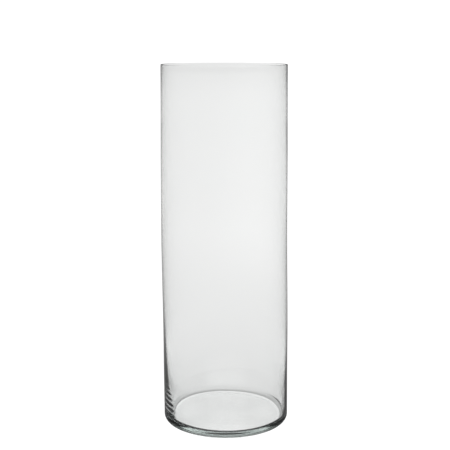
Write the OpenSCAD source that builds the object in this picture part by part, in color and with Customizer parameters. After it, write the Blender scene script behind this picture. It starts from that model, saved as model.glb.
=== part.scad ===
// Tall cylinder vase: one piece of clear blown glass, with a thick floor, a heavy foot that
// thins upwards into a light wall, and a cut rim with polished edges.
// Frame: +Z up, origin at the centre of the underside, on the surface that the vase stands on.
// All sizes are in millimetres.

/* [Outside] */
// Height, from the surface it stands on to the top of the rim
height = 508; // [350:1:700]
// Outer diameter just above the rounded heel
foot_d = 178; // [150:0.5:220]
// How much narrower the rim is than the foot, across the outer diameter
taper = 3; // [0:0.5:10]
// How far the wall swells beyond a straight taper, half way up
belly = 0.6; // [0:0.1:1.5]
// Radius of the rounded heel, where the wall turns under
heel_r = 7.5; // [4:0.5:9]

/* [Glass thickness] */
// Thickness of the floor where it meets the wall
floor_t = 7.6; // [6:0.2:12]
// Wall thickness just above the floor
foot_wall_t = 6.8; // [4:0.1:9]
// Wall thickness at the lightest part, half way up
mid_wall_t = 1.8; // [1.5:0.1:3]
// Wall thickness at the rim
rim_wall_t = 2; // [2:0.1:4]
// Height over which the heavy foot thins out
thinning_h = 58; // [40:1:90]

/* [Inside] */
// Radius of the fillet between the floor and the wall
fillet_r = 7; // [3:0.5:8]
// Length of the straight mouth, where the inner wall is a true cylinder
mouth_l = 70; // [40:1:100]
// Radius of the polished edges on both sides of the rim
lip_edge_r = 0.7; // [0.3:0.1:0.9]

/* [Underside] */
// Height of the shallow hollow at the middle of the underside
hollow_h = 1; // [0.5:0.1:3]
// Width of the flat ring that the vase rests on
ring_w = 6; // [3:0.5:10]

/* [Colours] */
// Colour of the clear glass
glass_colour = "#dfe8e6";
// How solid the glass is drawn
glass_alpha = 0.45; // [0.2:0.05:1]

/* [Hidden] */

$fn = 180;
foot_r = foot_d / 2;
rim_r = foot_r - taper / 2;
mouth_z = height - mouth_l;
mouth_r = rim_r - rim_wall_t;
// Share of the height where the wall starts to thicken again towards the mouth
thickening_start = 0.62;
// How fast the foot's extra glass dies away: above 1 it keeps its thickness first, then drops
thinning_power = 1.15;
// Number of straight pieces in each curved stretch of the profile
arc_steps = 10;
lip_steps = 4;
outer_steps = 12;
inner_steps = 36;
hollow_steps = 12;

// Outer radius of the wall at height z: a straight taper with a slight swell
function outer_r(z) = foot_r + (rim_r - foot_r) * z / height + belly * sin(180 * z / height);

// 0 below height a, 1 above height b, with a smooth change between them
function ramp(z, a, b) = let (t = min(1, max(0, (z - a) / (b - a)))) t * t * (3 - 2 * t);

// Wall thickness at height z, below the mouth: heavy foot, light middle, slightly heavier mouth
mouth_wall_t = outer_r(mouth_z) - mouth_r;
function wall_t(z) =
    mid_wall_t
    + (foot_wall_t - mid_wall_t) * exp(-pow((z - floor_t) / thinning_h, thinning_power))
    + (mouth_wall_t - mid_wall_t) * ramp(z, height * thickening_start, mouth_z);

// Inner radius of the wall at height z, which stays the same along the straight mouth
function inner_r(z) = z < mouth_z ? outer_r(z) - wall_t(z) : mouth_r;

// Points of an arc around [r, z] in the profile plane, from angle a to angle b
function arc(r, z, radius, a, b, steps) =
    [for (i = [0 : steps]) let (t = a + (b - a) * i / steps) [r + radius * cos(t), z + radius * sin(t)]];

// Underside, from the axis out to the flat ring that carries the vase
ring_outer_r = foot_r - heel_r;
ring_inner_r = ring_outer_r - ring_w;
hollow_points = [
    for (i = [0 : hollow_steps - 1])
        let (r = ring_inner_r * i / hollow_steps) [r, hollow_h * (1 - pow(r / ring_inner_r, 2))]
];

// Outer wall between the top of the heel and the lip
lip_z = height - lip_edge_r;
outer_points = [
    for (i = [1 : outer_steps - 1])
        let (z = heel_r + (lip_z - heel_r) * i / outer_steps) [outer_r(z), z]
];

// Flat top of the rim, with a small rounded edge on both sides
lip_points = concat(
    arc(rim_r - lip_edge_r, lip_z, lip_edge_r, 0, 90, lip_steps),
    arc(mouth_r + lip_edge_r, lip_z, lip_edge_r, 90, 180, lip_steps)
);

// Inner wall from the bottom of the straight mouth down to the top of the floor's fillet
fillet_z = floor_t + fillet_r;
inner_points = [
    for (i = [0 : inner_steps])
        let (z = mouth_z + (fillet_z - mouth_z) * i / inner_steps) [i == 0 ? mouth_r : inner_r(z), z]
];

vase_profile = concat(
    hollow_points,
    [[ring_inner_r, 0]],
    arc(ring_outer_r, heel_r, heel_r, -90, 0, arc_steps),
    outer_points,
    lip_points,
    inner_points,
    arc(inner_r(fillet_z) - fillet_r, fillet_z, fillet_r, -9, -90, arc_steps),
    [[0, floor_t]]
);

// The whole vase, turned from one profile
module vase() {
    color(glass_colour, glass_alpha)
        rotate_extrude()
            polygon(vase_profile);
}

vase();
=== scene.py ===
import math

import bpy
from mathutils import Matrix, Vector


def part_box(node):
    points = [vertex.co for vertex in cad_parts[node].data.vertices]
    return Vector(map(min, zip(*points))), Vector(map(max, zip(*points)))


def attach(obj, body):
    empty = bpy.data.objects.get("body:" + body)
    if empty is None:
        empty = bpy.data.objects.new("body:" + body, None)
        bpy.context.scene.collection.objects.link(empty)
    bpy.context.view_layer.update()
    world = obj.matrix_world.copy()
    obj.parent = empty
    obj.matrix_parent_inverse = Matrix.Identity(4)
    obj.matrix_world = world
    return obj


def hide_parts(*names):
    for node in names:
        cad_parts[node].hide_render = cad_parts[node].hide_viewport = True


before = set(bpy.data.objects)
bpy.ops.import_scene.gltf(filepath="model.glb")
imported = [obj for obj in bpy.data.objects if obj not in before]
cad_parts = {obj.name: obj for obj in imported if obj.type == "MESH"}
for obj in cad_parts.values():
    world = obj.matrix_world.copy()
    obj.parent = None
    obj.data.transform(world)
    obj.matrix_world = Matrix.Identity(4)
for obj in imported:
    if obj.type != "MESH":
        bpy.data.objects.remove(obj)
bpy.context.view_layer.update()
_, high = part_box("vase")

MM = 0.001

# The shape, as in the CAD part
HEIGHT = high.z
FOOT_R = high.x
RIM_R = FOOT_R - 1.5 * MM
BELLY = 0.6 * MM
HEEL_R = 7.5 * MM
FLOOR_T = 7.6 * MM
FOOT_WALL = 6.8 * MM
MID_WALL = 1.8 * MM
RIM_WALL = 2.0 * MM
FILLET_R = 7 * MM
THINNING_H = 58 * MM
THINNING_POWER = 1.15
THICKENING_START = 0.62  # share of the height
THICKENING_SPAN = 0.24  # share of the height
MOUTH_L = 70 * MM
MOUTH_R = RIM_R - RIM_WALL
LIP_R = 0.7 * MM
HOLLOW_H = 1.0 * MM
RING_W = 6 * MM

# The mesh
SEGMENTS = 256
HOLLOW_STEPS = 24
HEEL_STEPS = 16
OUTER_STEPS = 100
LIP_STEPS = 6
INNER_STEPS = 120
FILLET_STEPS = 12
FLOOR_STEPS = 12
CROWDING = 1.7  # above 1, the wall's rings stand closer together towards the foot
# Rings beside the lip and the fillet, which keep the smooth shading off the straight glass
OUTER_LIP_RINGS = (6 * MM, 3 * MM, 1.5 * MM, 0.9 * MM)
INNER_LIP_RINGS = (0.9 * MM, 1.5 * MM, 3 * MM)
FLOOR_EDGE_RINGS = (0.3 * MM, 1 * MM, 3 * MM)

# The small faults of blown glass: the wall leans to the left and narrows towards the rim,
# the cavity is off centre at the foot, and the left side of the foot is rippled
FOOT_LEAN = 0.5 * MM
FOOT_LEAN_H = 90 * MM
LEAN = 1.9 * MM
LEAN_START = 110 * MM
LEAN_SPAN = 180 * MM
NECK_IN = 0.3 * MM
NECK_START = 380 * MM
NECK_SPAN = 80 * MM
OFF_CENTRE = (1.1 * MM, -0.2 * MM)
OFF_CENTRE_H = 92 * MM
FLOOR_SHIFT = 0.6 * MM
FLOOR_SHIFT_H = 25 * MM
RIPPLE = 0.18 * MM
RIPPLE_PERIOD = 9.14 * MM
RIPPLE_SQUEEZE = 384 * MM  # the ripples stand closer together the higher they are
RIPPLE_PHASE = 0.14
RIPPLE_TOP = 66 * MM
RIPPLE_FADE = 12 * MM
RIPPLE_SIDE = math.radians(192)
RIPPLE_FOCUS = 30  # the higher this is, the narrower the rippled side
OUTER_SHARE = 0.3  # how much of a ripple shows on the outside of the wall
OUTER_FADE = 10 * MM

# The glass
IOR = 1.52
COOL_TINT = (0.994, 1.0, 0.998, 1)
WARM_TINT = (1.0, 0.999, 0.997, 1)
ABSORPTION_COLOUR = (0.910, 0.9175, 0.9152, 1)
ABSORPTION_DENSITY = 100.0
CLOUD_SCALE = 14
STREAK_SCALE = 55
STREAK_STRETCH = 0.1
STREAK_ROUGHNESS = 0.015
WAVES = 0.01 * MM

# Painted light and shade: the levels of the glowing floor and sky for each kind of ray, where 1 is
# white
DIRECT = 1.1
# Painted contact shadow: the level of the dark ring on the floor round the foot, seen through the
# glass
PAINTED_CONTACT_SHADOW = 0.62
# Painted shade straight behind the vase: its level on the left and on the right
LEFT_PAINTED_SHADE = 0.5
RIGHT_PAINTED_SHADE = 0.1
# Painted shade met by rays that crossed the cavity and were reflected once
CROSSED_RAY_PAINTED_SHADE = 0.6
FLOOR_HALF = 60


def smooth_step(t):
    t = min(1.0, max(0.0, t))
    return t * t * (3 - 2 * t)


def fade_out(z, height):
    """1 at z = 0, dying away over the height."""
    return math.exp(-(z / height) ** 2)


def outer_r(z):
    t = z / HEIGHT
    return FOOT_R + (RIM_R - FOOT_R) * t + BELLY * math.sin(math.pi * t)


def wall_t(z):
    foot = math.exp(-(max(0.0, z - FLOOR_T) / THINNING_H) ** THINNING_POWER)
    mouth = smooth_step((z / HEIGHT - THICKENING_START) / THICKENING_SPAN)
    mouth_wall = outer_r(HEIGHT - MOUTH_L) - MOUTH_R
    return MID_WALL + (FOOT_WALL - MID_WALL) * foot + (mouth_wall - MID_WALL) * mouth


def inner_r(z):
    return outer_r(z) - wall_t(z) if z < HEIGHT - MOUTH_L else MOUTH_R


def arc(r, z, radius, a, b, steps):
    """Points round (r, z), from angle a to angle b in degrees."""
    angles = [math.radians(a + (b - a) * i / steps) for i in range(steps + 1)]
    return [(r + radius * math.cos(t), z + radius * math.sin(t)) for t in angles]


def underside_profile():
    """The hollow, the ring that the vase stands on, and the heel."""
    ring_out = FOOT_R - HEEL_R
    ring_in = ring_out - RING_W
    shares = [i / HOLLOW_STEPS for i in range(1, HOLLOW_STEPS)]
    points = [(ring_in * s, HOLLOW_H * (1 - s ** 2)) for s in shares]
    points += [(ring_in, 0.0), ((ring_in + ring_out) / 2, 0.0)]
    return points + arc(ring_out, HEEL_R, HEEL_R, -90, 0, HEEL_STEPS)


def outer_wall_profile():
    """The outer wall from the heel to the lip."""
    span = HEIGHT - 2 * MM - HEEL_R
    heights = [HEEL_R + span * (i / OUTER_STEPS) ** CROWDING for i in range(1, OUTER_STEPS)]
    heights += [HEIGHT - drop for drop in OUTER_LIP_RINGS]
    return [(outer_r(z), z) for z in heights]


def lip_profile():
    """The flat top of the rim and its two rounded edges."""
    z = HEIGHT - LIP_R
    outer_edge = arc(outer_r(HEIGHT) - LIP_R, z, LIP_R, 0, 90, LIP_STEPS)
    inner_edge = arc(inner_r(HEIGHT) + LIP_R, z, LIP_R, 90, 180, LIP_STEPS)
    return outer_edge + inner_edge


def cavity_profile():
    """The inner wall from the lip down, its fillet and the floor."""
    fillet_z = FLOOR_T + FILLET_R
    span = HEIGHT - LIP_R - fillet_z
    heights = [HEIGHT - drop for drop in INNER_LIP_RINGS]
    for i in range(1, INNER_STEPS + 1):
        heights.append(fillet_z + span * (1 - i / INNER_STEPS) ** CROWDING)
    points = [(inner_r(z), z) for z in heights]
    points += arc(inner_r(fillet_z) - FILLET_R, fillet_z, FILLET_R, -5, -90, FILLET_STEPS)
    floor_r = points[-1][0]
    points += [(floor_r - gap, FLOOR_T) for gap in FLOOR_EDGE_RINGS]
    points += [(floor_r * (1 - i / FLOOR_STEPS), FLOOR_T) for i in range(1, FLOOR_STEPS)]
    return points


def blown(r, z, a, cavity):
    """The point at radius r, height z and angle a, moved by the small faults of blown glass."""
    side = max(0.0, math.cos(a - RIPPLE_SIDE)) ** RIPPLE_FOCUS
    turns = z / RIPPLE_PERIOD * (1 + z / RIPPLE_SQUEEZE) + RIPPLE_PHASE
    strength = RIPPLE * side * smooth_step((RIPPLE_TOP - z) / RIPPLE_FADE)
    ripple = strength * math.sin(2 * math.pi * turns)
    r += ripple if cavity else ripple * OUTER_SHARE * smooth_step(z / OUTER_FADE)
    r -= NECK_IN * smooth_step((z - NECK_START) / NECK_SPAN)
    x = r * math.cos(a) - FOOT_LEAN * smooth_step(z / FOOT_LEAN_H)
    x -= LEAN * smooth_step((z - LEAN_START) / LEAN_SPAN)
    y = r * math.sin(a)
    if cavity:
        fade = fade_out(z, OFF_CENTRE_H)
        x += OFF_CENTRE[0] * fade + FLOOR_SHIFT * fade_out(z, FLOOR_SHIFT_H)
        y += OFF_CENTRE[1] * fade
    return Vector((x, y, z))


def make_vase():
    """One closed mesh, ring by ring from the middle of the underside to the middle of the floor."""
    outside = underside_profile() + outer_wall_profile() + lip_profile()
    rings = [(r, z, False) for r, z in outside] + [(r, z, True) for r, z in cavity_profile()]
    angles = [2 * math.pi * k / SEGMENTS for k in range(SEGMENTS)]
    verts = [blown(0.0, HOLLOW_H, 0.0, False)]
    verts += [blown(r, z, a, cavity) for r, z, cavity in rings for a in angles]
    verts.append(blown(0.0, FLOOR_T, 0.0, True))
    last = 1 + (len(rings) - 1) * SEGMENTS
    faces = []
    for k in range(SEGMENTS):
        k2 = (k + 1) % SEGMENTS
        faces.append((0, 1 + k2, 1 + k))
        faces.append((len(verts) - 1, last + k, last + k2))
        for a in range(1, last, SEGMENTS):
            b = a + SEGMENTS
            faces.append((a + k, a + k2, b + k2, b + k))
    obj = make_mesh("blown_glass", verts, faces)
    for p in obj.data.polygons:
        p.use_smooth = True
    return obj


def make_mesh(name, verts, faces):
    mesh = bpy.data.meshes.new(name)
    mesh.from_pydata(verts, [], faces)
    mesh.update()
    obj = bpy.data.objects.new(name, mesh)
    bpy.context.scene.collection.objects.link(obj)
    return obj


class Nodes:
    """Shorthand for the nodes of one node tree. Values are numbers or sockets."""

    def __init__(self, nt):
        self.nt = nt

    def add(self, kind, **settings):
        node = self.nt.nodes.new(kind)
        for name, value in settings.items():
            setattr(node, name, value)
        return node

    def put(self, value, socket):
        if isinstance(value, (int, float, tuple)):
            socket.default_value = value
        else:
            self.nt.links.new(value, socket)

    def math(self, operation, a, b=0.0):
        node = self.add("ShaderNodeMath", operation=operation)
        self.put(a, node.inputs[0])
        self.put(b, node.inputs[1])
        return node.outputs[0]

    def product(self, first, *others):
        for other in others:
            first = self.math("MULTIPLY", first, other)
        return first

    def mix(self, factor, a, b, kind="FLOAT"):
        """a where factor is 0, b where it is 1."""
        node = self.add("ShaderNodeMix", data_type=kind)
        for name, value in (("Factor", factor), ("A", a), ("B", b)):
            self.put(value, node.inputs[name])
        return node.outputs["Result"]

    def ramp(self, value, start, end, low, high):
        """A smooth step from low, where value is start, to high, where it is end."""
        node = self.add("ShaderNodeMapRange", interpolation_type="SMOOTHSTEP")
        names = ("Value", "From Min", "From Max", "To Min", "To Max")
        for name, setting in zip(names, (value, start, end, low, high)):
            self.put(setting, node.inputs[name])
        return node.outputs["Result"]

    def saturating(self, distance, top, half):
        """Rises with distance towards top, and has half of it at the distance half."""
        share = self.math("DIVIDE", distance, self.math("ADD", distance, half))
        return self.product(share, top)

    def noise(self, vector, scale, detail):
        node = self.add("ShaderNodeTexNoise")
        for name, value in (("Vector", vector), ("Scale", scale), ("Detail", detail)):
            self.put(value, node.inputs[name])
        return node.outputs[0]

    def by_ray(self, direct, through, outside, inside, crossed, guided):
        """The painted brightness that each kind of ray meets: straight from the camera, only
        refracted, reflected off the outside, reflected once inside the first wall, reflected once
        after crossing the cavity, or guided along the wall by more than one reflection. Only the
        camera's own rays meet an even white; the other kinds meet painted light and shade."""
        path = self.add("ShaderNodeLightPath").outputs
        reflected = self.math("GREATER_THAN", path["Glossy Depth"], 0.5)
        often = self.math("GREATER_THAN", path["Glossy Depth"], 1.5)
        entered = self.math("GREATER_THAN", path["Transmission Depth"], 0.5)
        beyond = self.math("GREATER_THAN", path["Transmission Depth"], 2.5)
        once = self.mix(beyond, inside, crossed)
        mirrored = self.mix(entered, outside, self.mix(often, once, guided))
        in_glass = self.mix(reflected, through, mirrored)
        return self.mix(path["Is Camera Ray"], in_glass, direct)

    def painted_side_shade(self, right, behind):
        """Painted shade in a narrow sector straight behind the vase: half as bright on the left, a
        tenth as bright on the right.
        """
        painted_level = self.ramp(right, -0.1, 0.1, LEFT_PAINTED_SHADE, RIGHT_PAINTED_SHADE)
        return self.mix(self.ramp(behind, 0.88, 0.96, 0.0, 1.0), 1.0, painted_level)

    def right_lift(self, right):
        """Painted light: the background seen through the glass is a little lighter on the right."""
        return self.ramp(right, -0.05, 0.06, 0.985, 1.03)


def glass_material():
    """Clear glass with drawn streaks, a faint cloudiness and colour that deepens with depth."""
    mat = bpy.data.materials.new("clear_glass")
    mat.use_nodes = True
    n = Nodes(mat.node_tree)
    glass = mat.node_tree.nodes["Principled BSDF"].inputs
    place = n.add("ShaderNodeTexCoord").outputs["Object"]
    drawn = n.add("ShaderNodeMapping")
    n.put((1, 1, STREAK_STRETCH), drawn.inputs["Scale"])
    n.put(place, drawn.inputs["Vector"])
    streaks = n.noise(drawn.outputs["Vector"], STREAK_SCALE, 2)
    cloud = n.noise(place, CLOUD_SCALE, 3)
    n.put(n.mix(cloud, COOL_TINT, WARM_TINT, "RGBA"), glass["Base Color"])
    n.put(n.ramp(streaks, 0.45, 0.7, 0.0, STREAK_ROUGHNESS), glass["Roughness"])
    bump = n.add("ShaderNodeBump")
    bump.inputs["Strength"].default_value = 1.0
    bump.inputs["Distance"].default_value = WAVES
    n.put(streaks, bump.inputs["Height"])
    n.put(bump.outputs["Normal"], glass["Normal"])
    glass["IOR"].default_value = IOR
    glass["Transmission Weight"].default_value = 1.0
    depth = n.add("ShaderNodeVolumeAbsorption")
    depth.inputs["Color"].default_value = ABSORPTION_COLOUR
    depth.inputs["Density"].default_value = ABSORPTION_DENSITY
    n.put(depth.outputs[0], mat.node_tree.nodes["Material Output"].inputs["Volume"])
    return mat


def floor_through(n, r, right, behind):
    """The floor as it is seen through the glass, with painted light and shade: a soft painted
    shadow round the vase, a painted pool of light under it and a painted dark contact ring round
    the foot.
    """
    # Painted shade: darker within 0.2 m of the vase, and darker again far off
    open_floor = n.product(n.ramp(r, 0.2, 1.5, 0.885, 1.0), n.ramp(r, 5, 18, 0.96, 0.875))
    # Painted pool of light under the vase, brighter towards the back
    under_back = n.ramp(behind, -0.6, -0.2, 1.13, 1.22)
    under = n.mix(n.ramp(r, 0.02, 0.06, 0.0, 1.0), 1.13, under_back)
    # Painted contact shadow: a dark ring round the foot
    to_contact = n.mix(n.ramp(r, 0.079, 0.082, 0.0, 1.0), under, PAINTED_CONTACT_SHADOW)
    near = n.mix(n.ramp(r, 0.086, 0.098, 0.0, 1.0), to_contact, 1.0)
    lift = n.right_lift(n.product(right, n.ramp(r, 0.4, 1.8, 0.0, 1.0)))
    return n.product(open_floor, near, n.ramp(r, 10, 12, 1.0, 0.965), lift)


def floor_inside(n, r, side_shade):
    """The floor in a reflection inside the wall, painted dark beside the foot, with a painted
    bright ring.
    """
    open_floor = n.product(n.saturating(r, 0.4, 0.6), n.ramp(r, 4, 16, 1.0, 0.35))
    open_floor = n.math("MAXIMUM", open_floor, 0.12)
    open_floor = n.mix(n.ramp(r, 0.09, 0.13, 0.0, 1.0), 0.03, open_floor)
    # A painted ring of light on the floor round the foot
    painted_light_ring = n.product(n.ramp(r, 0.095, 0.112, 0.03, 0.6), n.ramp(r, 0.14, 0.18, 1.0, 0.0))
    return n.product(n.math("MAXIMUM", open_floor, painted_light_ring), side_shade)


def floor_outside(n, r, behind, side_shade):
    """The floor in a reflection off the outside, painted dark near the foot, but for a painted
    bright strip in front of it."""
    open_floor = n.product(n.saturating(r, 0.68, 0.35), n.ramp(r, 4, 16, 1.0, 0.5), side_shade)
    # Painted highlight: a bright strip on the floor in front of the foot
    strip = n.product(n.ramp(behind, -0.85, -0.65, 1.0, 0.0), n.ramp(r, 0.12, 0.16, 1.0, 0.0))
    return n.mix(strip, open_floor, n.ramp(behind, -0.95, -0.85, 1.5, 1.0))


def floor_guided(n, r, side_shade):
    """The floor as light that is guided along the wall meets it, painted dark at the foot, with a
    painted bright band just beyond it.
    """
    near = n.product(n.ramp(r, 0.094, 0.11, 0.08, 1.9), n.ramp(r, 0.2, 0.4, 1.0, 0.38))
    far_side_shade = n.mix(n.ramp(r, 4.5, 7.0, 0.0, 1.0), 1.0, side_shade)
    return n.product(near, n.ramp(r, 0.8, 2.0, 1.0, 1.65), far_side_shade)


def make_floor():
    s = FLOOR_HALF
    obj = make_mesh("floor", [(-s, -s, 0), (s, -s, 0), (s, s, 0), (-s, s, 0)], [(0, 1, 2, 3)])
    mat = bpy.data.materials.new("floor")
    mat.use_nodes = True
    nt = mat.node_tree
    nt.nodes.remove(nt.nodes["Principled BSDF"])
    n = Nodes(nt)
    place = n.add("ShaderNodeTexCoord").outputs["Object"]
    length = n.add("ShaderNodeVectorMath", operation="LENGTH")
    n.put(place, length.inputs[0])
    r = length.outputs["Value"]
    split = n.add("ShaderNodeSeparateXYZ")
    n.put(place, split.inputs[0])
    right = n.math("DIVIDE", split.outputs["X"], r)
    behind = n.math("DIVIDE", split.outputs["Y"], r)
    # Painted shade on the floor straight behind the vase, from 0.3 to 0.8 m out onwards
    side_shade = n.mix(n.ramp(r, 0.3, 0.8, 0.0, 1.0), 1.0, n.painted_side_shade(right, behind))
    # The floor glows: evenly white straight from the camera, with painted light and shade for the
    # other kinds of ray
    strength = n.by_ray(
        DIRECT,
        floor_through(n, r, right, behind),
        floor_outside(n, r, behind, side_shade),
        floor_inside(n, r, side_shade),
        n.ramp(r, 0.2, 2.0, 1.1, CROSSED_RAY_PAINTED_SHADE),
        floor_guided(n, r, side_shade),
    )
    light = n.add("ShaderNodeEmission")
    n.put(strength, light.inputs["Strength"])
    n.put(light.outputs[0], nt.nodes["Material Output"].inputs["Surface"])
    obj.data.materials.append(mat)


def make_world():
    world = bpy.data.worlds.new("studio")
    world.use_nodes = True
    n = Nodes(world.node_tree)
    background = world.node_tree.nodes["Background"].inputs
    background["Color"].default_value = (1, 1, 1, 1)
    split = n.add("ShaderNodeSeparateXYZ")
    n.put(n.add("ShaderNodeTexCoord").outputs["Generated"], split.inputs[0])
    right, behind, up = split.outputs["X"], split.outputs["Y"], split.outputs["Z"]
    # Painted shade in the sky straight behind the vase
    side_shade = n.painted_side_shade(right, behind)
    # Painted light for guided rays: bright ahead and behind, dark at the sides
    lengthwise = n.ramp(n.math("ABSOLUTE", behind), 0.6, 0.85, 0.08, 1.9)
    # Painted sky levels for each kind of ray: through the glass darker overhead, in reflections
    # darker near the horizon
    strength = n.by_ray(
        DIRECT,
        n.product(n.ramp(up, 0.1, 0.4, 0.845, 0.45), n.right_lift(right)),
        n.product(n.ramp(up, 0.0, 0.35, 0.34, 0.9), side_shade),
        n.product(n.ramp(up, 0.0, 0.35, 0.2, 1.0), side_shade),
        CROSSED_RAY_PAINTED_SHADE,
        n.product(lengthwise, n.ramp(up, 0.3, 0.45, 1.0, 1.5)),
    )
    n.put(strength, background["Strength"])
    scene = bpy.context.scene
    scene.world = world
    scene.view_settings.view_transform = "Standard"
    # Light is reflected many times inside the thick foot
    scene.cycles.glossy_bounces = 12


def make_camera():
    cam = bpy.data.cameras.new("camera")
    cam.sensor_width = 36
    cam.lens = 80.95
    cam.shift_y = -0.0306
    cam.clip_end = 200
    obj = bpy.data.objects.new("camera", cam)
    bpy.context.scene.collection.objects.link(obj)
    obj.location = (-0.0012, -1.403, 0.5502)
    obj.rotation_euler = (math.radians(90 - 9.99), 0, 0)
    bpy.context.scene.camera = obj


make_camera()
make_world()
make_floor()
vase = make_vase()
vase.data.materials.append(glass_material())
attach(vase, "root")
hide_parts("vase")
